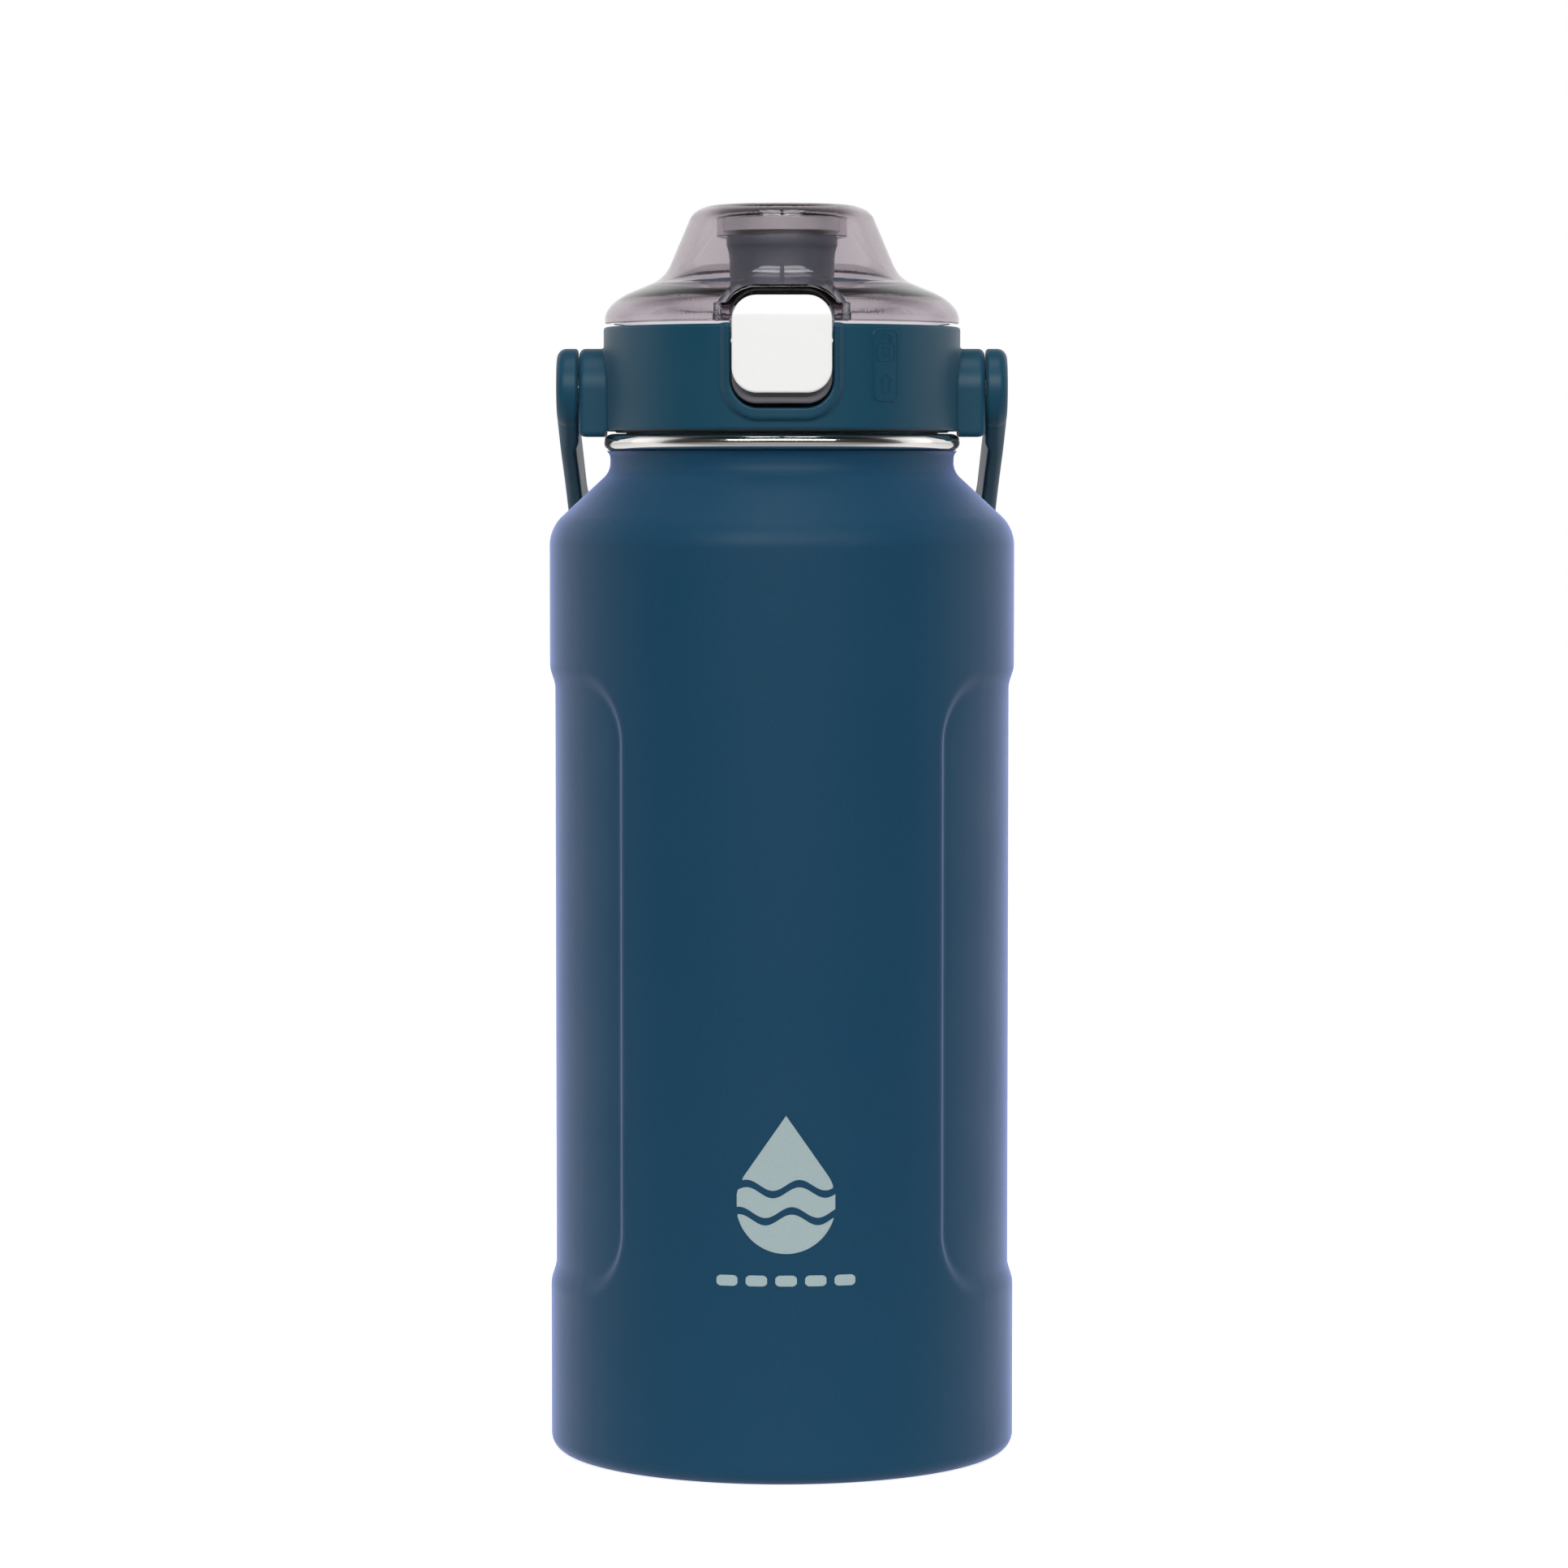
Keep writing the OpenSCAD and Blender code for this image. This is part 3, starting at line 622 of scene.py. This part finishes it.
def housing_field(x, y, z):
    """Band, deck, frame, bosses, hinge ears and plaque, with the pocket and the bores cut out."""
    rho = np.hypot(x, y)
    side = np.abs(x)
    shape = both(both(rho - BAND_R, BAND_IN - rho), slab(z, BAND_Z, BAND_TOP), 0.7)
    deck = both(rho - BAND_IN - 1, slab(z, DECK_Z, DECK_TOP))
    shape = union(shape, cut(deck, rho - TUBE_R - 0.3, 0.3), 0.8)

    # raised frame round the button, and the pocket behind it
    rim = round_rect(x, z, -FRAME_HALF_W, FRAME_HALF_W, FRAME_Z, BAND_TOP, 9, 0.7)
    rim = both(both(rho - FRAME_R, rim, 0.8), np.maximum(BAND_IN + 0.5 - rho, y))
    shape = union(shape, rim, 0.9)
    wall = round_rect(x, z, -POCKET_HALF_W - 1.5, POCKET_HALF_W + 1.5, POCKET_Z - 1.5, DECK_TOP, 8, 0)
    shape = union(shape, both(wall, slab(y, -BAND_IN, POCKET_BACK + 1.5)), 0.3)

    # side bosses for the handle, and the ears of the cap's hinge
    boss = round_rect(y, z, -BOSS_R, BOSS_R, BOSS_Z, PIVOT_Z + BOSS_R, 1.2, BOSS_R)
    boss = both(both(boss, side - BOSS_X, 1.5), BAND_IN + 0.3 - rho)
    boss = cut(boss, both(rho - RING_R - 0.5, z - BAND_Z), 0.2)
    shape = union(shape, boss, 0.6)
    hinge = np.hypot(y - HINGE_Y, z - HINGE_Z)
    ear = both(union(hinge - HINGE_R, ear_web(y, z)), slab(side, *EAR_X), 0.5)
    shape = union(shape, ear, 0.5)
    across = x * math.cos(PLAQUE_AT) + y * math.sin(PLAQUE_AT)
    plaque = round_rect(across, z, -3.6, 3.6, BAND_Z + 6.7, BAND_Z + 24.1, 1.8, 1.8)
    plaque = both(both(plaque, rho - PLAQUE_R, 0.2), np.maximum(BAND_IN + 0.5 - rho, y))
    shape = union(shape, plaque, 0.1)

    pocket = round_rect(x, z, -POCKET_HALF_W, POCKET_HALF_W, POCKET_Z, BAND_TOP + 9, POCKET_ROUND, 0)
    shape = cut(shape, np.maximum(pocket, y - POCKET_BACK), 0.45)
    shape = cut(shape, np.maximum(np.hypot(y, z - PIVOT_Z) - PIN_R - 0.03, 30 - side), 0.3)
    shape = cut(shape, hinge - HINGE_PIN_R - 0.03)
    return cut(shape, both(hinge - HINGE_R - 0.4, side - EAR_X[0]), 0.2)


def lid_housing():
    """Moulded lid: band, deck, frame and pocket of the button, bosses and hinge ears."""
    mould("Lid_Housing", housing_field, (-51, -47, BOSS_Z - 1.5), (51, 51, HINGE_Z + HINGE_R + 1.5),
          0.4, "lid", TEAL, ["lid_housing"])


def ridge(path, closed, half_w=0.16):
    """Low ridge on the plaque, along a path of places across and up."""
    path = np.array(path, float)
    ahead = np.roll(path, -1, 0) - path
    if not closed:
        ahead[-1] = ahead[-2]
    ahead /= np.linalg.norm(ahead, axis=1, keepdims=True)
    behind = np.roll(ahead, 1, 0)
    if not closed:
        behind[0] = ahead[0]
    along = ahead + behind
    along /= np.linalg.norm(along, axis=1, keepdims=True)
    mitre = half_w / np.maximum((along * ahead).sum(1), 0.5)
    out = np.stack([-along[:, 1], along[:, 0]], 1) * mitre[:, None]
    rows = [wrap(*(path + share * out).T, r, PLAQUE_AT)
            for share, r in ((-1, PLAQUE_R - 0.1), (-0.5, PLAQUE_R + 0.12),
                             (0.5, PLAQUE_R + 0.12), (1, PLAQUE_R - 0.1))]
    return np.stack(rows, 1), closed


def frame_path(u0, u1, z0, z1, r):
    """Rectangle with round corners."""
    return (arc((u1 - r, z1 - r), r, 0, 90, 5) + arc((u0 + r, z1 - r), r, 90, 180, 5)
            + arc((u0 + r, z0 + r), r, 180, 270, 5) + arc((u1 - r, z0 + r), r, 270, 360, 5))


def plaque_relief():
    """Padlock over an arrow that points up, inside the plaque's rim."""
    low = BAND_Z + 6.7
    lock, arrow = low + 9.7, low + 2.3
    parts = [ridge(frame_path(-3.4, 3.4, low + 0.2, low + 17.2, 1.6), True),
             ridge(frame_path(-2.5, 2.5, lock, lock + 4.3, 0.8), True),
             ridge(frame_path(-1.0, 1.0, lock + 1.2, lock + 3.2, 0.3), True)]
    for r in (1.7, 0.9):
        shackle = [(r, lock + 4.2)] + arc((0, lock + 4.9), r, 0, 180, 12) + [(-r, lock + 4.2)]
        parts.append(ridge(shackle, False))
    parts.append(ridge([(0, arrow + 4.3), (-1.8, arrow + 2.8), (-1.0, arrow + 2.8), (-1.0, arrow),
                        (1.0, arrow), (1.0, arrow + 2.8), (1.8, arrow + 2.8)], True))
    bars("Plaque_Relief", parts, "lid", TEAL)


def spout():
    """Soft drinking spout: a waist, a rolled lip and a funnel down to the tube."""
    foot = DECK_TOP + 0.1
    lip_r = SPOUT_R + 0.75
    outline = ([(TUBE_R + 0.15, foot)]
               + arc((SPOUT_R + 2.1, foot + 0.4), 0.4, -90, 0, 4)
               + arc((SPOUT_R + 2.1, foot + 1.4), 0.4, 0, 90, 4)
               + bend((SPOUT_R + 0.9, foot + 2), (SPOUT_R, foot + 2.3), (SPOUT_R, foot + 4.5), 8)
               + bend((SPOUT_R, LIP_TOP - 8), (SPOUT_R, LIP_TOP - 4), (lip_r, LIP_TOP - 2.6), 12)
               + arc((lip_r - 1.0, LIP_TOP - 1.0), 1.0, 0, 90, 8)
               + bend((lip_r - 2.6, LIP_TOP), (lip_r - 3.6, LIP_TOP - 0.4),
                      (lip_r - 4.1, LIP_TOP - 2), 8)
               + [(8.8, LIP_TOP - 6), (8.8, LIP_TOP - 10.9), (TUBE_R + 0.15, LIP_TOP - 10.9)])
    lathe("Spout", outline, "lid", SLATE, ["spout"], 128)


# ---- cap ----

cap_outer = outline_field(
    [(0.0, 0.0)] + [(CAP_R, 0.0)]
    + bend((CAP_R, 1.5), (CAP_R - 0.5, 5.3), (CAP_R - 6.7, 8))
    + bend((31.5, 10.2), (28.6, 11.6), (27.2, 15))
    + bend((22.7, 25.6), (21.5, 28.5), (17, 29.1))
    + [(0.0, CAP_TOP - CAP_Z)])

cap_inner = outline_field(
    [(0.0, -3.0), (CAP_R - 2.4, -3.0)]
    + bend((CAP_R - 2.4, 1.5), (CAP_R - 3.1, 4), (CAP_R - 7.5, 5.7))
    + bend((30.4, 7.8), (26.8, 9.8), (25.2, 13.6))
    + bend((20.6, 24.4), (19.6, 26.8), (16.8, 27))
    + [(0.0, 27.0)])


def cap_field(x, y, z):
    """Domed cap with its hood, collar, catch bar and hinge knuckles."""
    rho = np.hypot(x, y)
    side = np.abs(x)
    h = z - CAP_Z
    hood = round_rect(x, z, -HOOD_HALF_W, HOOD_HALF_W, CAP_Z, HOOD_TOP, 0, 8.5)
    hood = both(hood, slab(y, HOOD_FRONT, -24), 0.7)
    shape = union(cap_outer(rho, h), hood, 2.0)
    shape = both(shape, -h, 0.3)
    shape = cut(shape, cap_inner(rho, h), 0.3)
    bar = both(slab(y, *BAR_Y), slab(h, 0, 1.6), 0.3)
    shape = union(shape, both(both(bar, rho - CAP_R + 1), side - 15.8, 0.3), 0.3)
    collar = both(slab(rho, 14.6, 16), slab(z, COLLAR_Z, CAP_Z + 28), 0.35)
    shape = union(shape, collar, 0.4)

    # hinge knuckles
    hinge = np.hypot(y - HINGE_Y, z - HINGE_Z)
    web = both(slab(y, CAP_R - 2, HINGE_Y), slab(z, CAP_Z, HINGE_Z + 3))
    knuckle = both(union(hinge - HINGE_R, web, 0.5), slab(side, 4.5, 7.7), 0.4)
    shape = union(shape, knuckle, 0.5)

    window = round_rect(x, z, -HOOD_IN, HOOD_IN, CAP_Z - 9, HOOD_TOP - HOOD_T, 0, 6.8)
    shape = cut(shape, both(window, slab(y, -60, BAR_Y[0])), 0.45)
    return cut(shape, hinge - HINGE_PIN_R - 0.05)


def clear_cap():
    """Smoked clear cap with its hood over the button, catch bar, collar and hinge knuckles."""
    piece = mould("Clear_Cap", cap_field, (-46, -48, CAP_Z - 6), (46, 51.5, CAP_TOP + 1.5), 0.4,
                  "cap", SMOKE, ["clear_cap"])
    piece.visible_shadow = False    # light reaches the spout through it


# ---- button and slider ----

BUTTON_BACK = BUTTON_FRONT + 3
SLIDER_BACK = SLIDER_FRONT + 2.3
LINK_Z = (SLIDER_Z + 12.5, SLIDER_Z + 16.3)
HOOK_Y = (-35.8, -33.8)
HOOK_TOP = MOUTH_Z + 30
HOOK_HALF_W = 7
SPRING_X = 8
SPRING_Z = BUTTON_Z + 4.2
CREASE = 18.2         # height of the slider's crease above its lower edge
FOOT_Y = (BUTTON_FRONT + 3.3, BUTTON_FRONT + 4.4)


def button_field(x, y, z):
    """Plate with a slot for the slider, the pegs of its springs and the hook."""
    side = np.abs(x)
    plate = round_rect(x, z, -BUTTON_HALF_W, BUTTON_HALF_W, BUTTON_Z, BUTTON_Z + BUTTON_H,
                       BUTTON_ROUND, BUTTON_ROUND)
    shape = both(plate, slab(y, BUTTON_FRONT, BUTTON_BACK), 0.5)
    link = both(slab(z, *LINK_Z), slab(y, BUTTON_BACK - 0.5, HOOK_Y[1]))
    hook = both(slab(z, LINK_Z[0], HOOK_TOP), slab(y, *HOOK_Y))
    arm = both(union(link, hook, 0.6), side - HOOK_HALF_W, 0.4)
    shape = union(shape, arm, 0.4)
    peg = both(np.hypot(side - SPRING_X, z - SPRING_Z) - 1.5,
               slab(y, BUTTON_BACK - 0.5, BUTTON_BACK + 2), 0.3)
    shape = union(shape, peg, 0.2)
    slot_in_plate = both(side - 3.4, slab(z, SLIDER_Z + 4.2, SLIDER_Z + 11.6))
    return cut(shape, np.maximum(slot_in_plate, y - BUTTON_BACK - 0.1), 0.2)


def push_button():
    """Grey button behind the slider, with the hook that holds the cap."""
    mould("Push_Button", button_field, (-13, -46, BUTTON_Z - 1),
          (13, -32, BUTTON_Z + BUTTON_H + 1), 0.3,
          "button", BUTTON_GREY, ["push_button"])


def slider_field(x, y, z):
    """Plate with side nubs, on a stem and foot that run in the button's slot."""
    side = np.abs(x)
    up = z - SLIDER_Z
    plate = round_rect(x, z, -BUTTON_HALF_W, BUTTON_HALF_W, SLIDER_Z, SLIDER_Z + BUTTON_H,
                       BUTTON_ROUND, BUTTON_ROUND)
    # the face has a soft crease, above which it leans back
    lean = np.hypot(np.maximum(up - CREASE, 0) * 0.29, 0.35) - 0.35
    shape = both(plate, slab(y, SLIDER_FRONT + lean, SLIDER_BACK), 0.6)
    nub = both(np.hypot(side - BUTTON_HALF_W + 0.3, up - 12.4) - 0.55,
               slab(y, SLIDER_FRONT + 0.6, SLIDER_BACK - 0.1))
    shape = union(shape, nub, 0.2)
    stem = both(both(side - 3, slab(up, 7.2, 11.2)), slab(y, SLIDER_BACK - 0.3, FOOT_Y[1]))
    foot = both(both(side - 5, slab(up, 6.2, 11.7)), slab(y, *FOOT_Y), 0.2)
    return union(union(shape, stem, 0.2), foot, 0.1)


def lock_slider():
    """White slider that locks the button."""
    mould("Lock_Slider", slider_field, (-13, -48.2, SLIDER_Z - 1),
          (13, -38.5, SLIDER_Z + BUTTON_H + 1), 0.26,
          "slider", SLIDER_WHITE, ["lock_slider"])


# ---- handle ----

TURN_Z = REACH - CORNER_R
ARM_L = (TURN_Z + (CORNER_R + STRAP_T / 2) * math.sin(LEAN)) / math.cos(LEAN)
TURN_X = EYE_X + EYE_T - (CORNER_R + STRAP_T / 2) * math.cos(LEAN) - ARM_L * math.sin(LEAN)


def handle_field(x, y, z):
    """Handle standing up from its pivots; its arms lean towards each other."""
    side = np.abs(x)
    slope = math.tan(LEAN)
    outer = side - EYE_X - EYE_T + slope * (z + np.hypot(z, 6)) / 2
    inner = EYE_X + (EYE_T - STRAP_T - slope * z) * smooth_step((z - 9.5) / 4) - side
    turn = np.hypot(side - TURN_X, z - TURN_Z) - CORNER_R
    middle = np.where(side > TURN_X, turn, z - REACH)
    along = z * math.cos(LEAN) - (side - EYE_X - EYE_T) * math.sin(LEAN)
    arm = along < ARM_L
    outer = np.where(arm, outer, middle - STRAP_T / 2)
    inner = np.where(arm, inner, -middle - STRAP_T / 2)
    half_w = STRAP_W / 2 + 2.2 * (1 - smooth_step(z / 34))
    outline = union(np.hypot(y, z) - BOSS_R, np.maximum(np.abs(y) - half_w, -z))
    shape = both(outline, outer, 1.5 + 0.9 * (1 - smooth_step((z - 4) / 12)))
    shape = both(shape, inner, 0.8)
    bore = np.maximum(np.hypot(y, z) - PIN_R - 0.06, slab(side, EYE_X - 2, PIN_END + 0.3))
    return cut(shape, bore, 0.2)


def carry_handle():
    """Carry handle, hanging back from its pivots."""
    points, faces, normals = surface(handle_field, (-57, -12, -12), (57, 12, REACH + 5), 0.5 * FINE)
    turn = np.array(Matrix.Rotation(math.radians(HANDLE_ANGLE - 180), 3, "X"))
    points = points @ turn.T + (0, 0, PIVOT_Z)
    add_piece("Carry_Handle", points, faces, "handle", TEAL, normals @ turn.T,
              ["carry_handle"])


# ---- studio ----

def area_light(name, place_at, aim, size, power, colour=(1, 1, 1)):
    """Softbox of the given width and height, aimed at a point."""
    data = bpy.data.lights.new(name, "AREA")
    data.shape = "RECTANGLE"
    data.size, data.size_y = size
    data.energy = power
    data.color = colour
    lamp = bpy.data.objects.new(name, data)
    lamp.location = place_at
    lamp.rotation_euler = (Vector(aim) - Vector(place_at)).to_track_quat("-Z", "Y").to_euler()
    bpy.context.scene.collection.objects.link(lamp)
    return lamp


def fade(tree, source, start, end, dark):
    """1 up to start, then smoothly down to dark at end."""
    made = tree.nodes.new("ShaderNodeMapRange")
    made.interpolation_type = "SMOOTHSTEP"
    for key, value in zip(("From Min", "From Max", "To Min", "To Max"), (start, end, 1.0, dark)):
        made.inputs[key].default_value = value
    tree.links.new(source, made.inputs["Value"])
    return made.outputs["Result"]


def math_node(tree, operation, a, b):
    """Result of a sum, product or other operation on a value and a value or number."""
    made = tree.nodes.new("ShaderNodeMath")
    made.operation = operation
    tree.links.new(a, made.inputs[0])
    if isinstance(b, (int, float)):
        made.inputs[1].default_value = b
    else:
        tree.links.new(b, made.inputs[1])
    return made.outputs[0]


def seen_or_not(tree, lighting, seen):
    """Seen directly by the camera, or lighting the object."""
    path = tree.nodes.new("ShaderNodeLightPath")
    choose = tree.nodes.new("ShaderNodeMix")
    tree.links.new(path.outputs["Is Camera Ray"], choose.inputs["Factor"])
    if isinstance(lighting, (int, float)):
        choose.inputs["A"].default_value = lighting
    else:
        tree.links.new(lighting, choose.inputs["A"])
    choose.inputs["B"].default_value = seen
    return choose.outputs["Result"]


def world():
    """White room, darker in front of and above the object, where the photographer stands."""
    made = bpy.data.worlds.new("studio")
    made.use_nodes = True
    tree = made.node_tree
    coords = tree.nodes.new("ShaderNodeTexCoord")
    split = tree.nodes.new("ShaderNodeSeparateXYZ")
    tree.links.new(coords.outputs["Generated"], split.inputs["Vector"])
    front = fade(tree, math_node(tree, "MULTIPLY", split.outputs["Y"], -1), -0.25, 0.35, 0.05)
    above = fade(tree, split.outputs["Z"], 0.35, 0.8, 0.15)
    back = tree.nodes["Background"]
    back.inputs["Color"].default_value = (1.0, 1.0, 1.0, 1)
    strength = seen_or_not(tree, math_node(tree, "MULTIPLY", front, above), 1.0)
    tree.links.new(strength, back.inputs["Strength"])
    bpy.context.scene.world = made


def floor():
    """Plain pale floor, which throws less light back than the camera sees."""
    made, tree, shader = new_material("floor", Emission_Color=(1.0, 1.0, 1.0))
    tree.links.new(spread(tree, noise(tree, 12, 2), 0.55, 0.65), shader.inputs["Roughness"])
    pale = tree.nodes.new("ShaderNodeCombineColor")
    split = tree.nodes.new("ShaderNodeSeparateXYZ")
    tree.links.new(place(tree), split.inputs["Vector"])
    behind = fade(tree, math_node(tree, "MULTIPLY", split.outputs["Y"], -1), -0.1, 0.4, 0.35)
    share = seen_or_not(tree, math_node(tree, "MULTIPLY", behind, 0.8), 0.5)
    for channel in ("Red", "Green", "Blue"):
        tree.links.new(share, pale.inputs[channel])
    tree.links.new(pale.outputs["Color"], shader.inputs["Base Color"])
    glow = math_node(tree, "SUBTRACT", behind, 0.35)
    tree.links.new(seen_or_not(tree, math_node(tree, "MULTIPLY", glow, 0.6), 0.84),
                   shader.inputs["Emission Strength"])
    size = 6.0
    mesh = bpy.data.meshes.new("floor")
    mesh.from_pydata([(-size, -size, 0), (size, -size, 0), (size, size, 0), (-size, size, 0)], [],
                     [(0, 1, 2, 3)])
    mesh.materials.append(made)
    plane = bpy.data.objects.new("floor", mesh)
    bpy.context.scene.collection.objects.link(plane)


def studio():
    """White room with a soft light on each side, one in front and four panes overhead."""
    world()
    floor()
    area_light("left_box", (-1.5, 0.2, 0.7), (0, 0, 0.15), (0.9, 1.5), 1.2)
    area_light("right_box", (1.5, 0.2, 0.7), (0, 0, 0.15), (0.9, 1.5), 1.6)
    area_light("front_box", (0, -1.75, 1.14), (0, 0, 0.15), (2.4, 0.4), 38)
    for i, j in itertools.product((-1, 1), repeat=2):
        area_light(f"pane_{i}_{j}", (0.2 * i, -0.3 + 0.17 * j, 1.6), (0.2 * i, -0.3 + 0.17 * j, 0),
                   (0.34, 0.28), 1.5)


CAMERA_AT = (0.0005, -1.36, 0.243)    # metres
CAMERA_TILT = 3.3                     # degrees below the horizontal
FOCAL_LENGTH = 126.7                  # millimetres, on a sensor 36 mm wide


def camera():
    """Long lens at about the height of the jug's neck, tilted slightly down."""
    data = bpy.data.cameras.new("camera")
    data.lens = FOCAL_LENGTH
    data.sensor_width = 36
    cam = bpy.data.objects.new("camera", data)
    cam.location = CAMERA_AT
    cam.rotation_euler = (math.radians(90 - CAMERA_TILT), 0, 0)
    bpy.context.scene.collection.objects.link(cam)
    bpy.context.scene.camera = cam


def kept_nodes():
    """Materials of the CAD nodes that stay showing."""
    finishes = {"inner_flask": STEEL, "outer_base": STEEL, "base_cover": STEEL, "getter": STEEL,
                "vacuum_seal": SOLDER, "lid_plug": INNER_WHITE, "spout_tube": INNER_WHITE,
                "tube_seal": SLATE, "hinge_pin": STEEL, "hinge_spring": STEEL,
                "button_spring_left": STEEL, "button_spring_right": STEEL,
                "pivot_pin_left": STEEL, "pivot_pin_right": STEEL, "cap_seal": CLEAR_SILICONE}
    for name, finish in finishes.items():
        node = frame["nodes"][name]
        node.data.materials.clear()
        node.data.materials.append(finish)


camera()
studio()
kept_nodes()
outer_shell()
body_print()
neck_ring()
mouth_gasket()
lid_housing()
plaque_relief()
spout()
clear_cap()
push_button()
lock_slider()
carry_handle()

bpy.context.scene.view_settings.view_transform = "Standard"
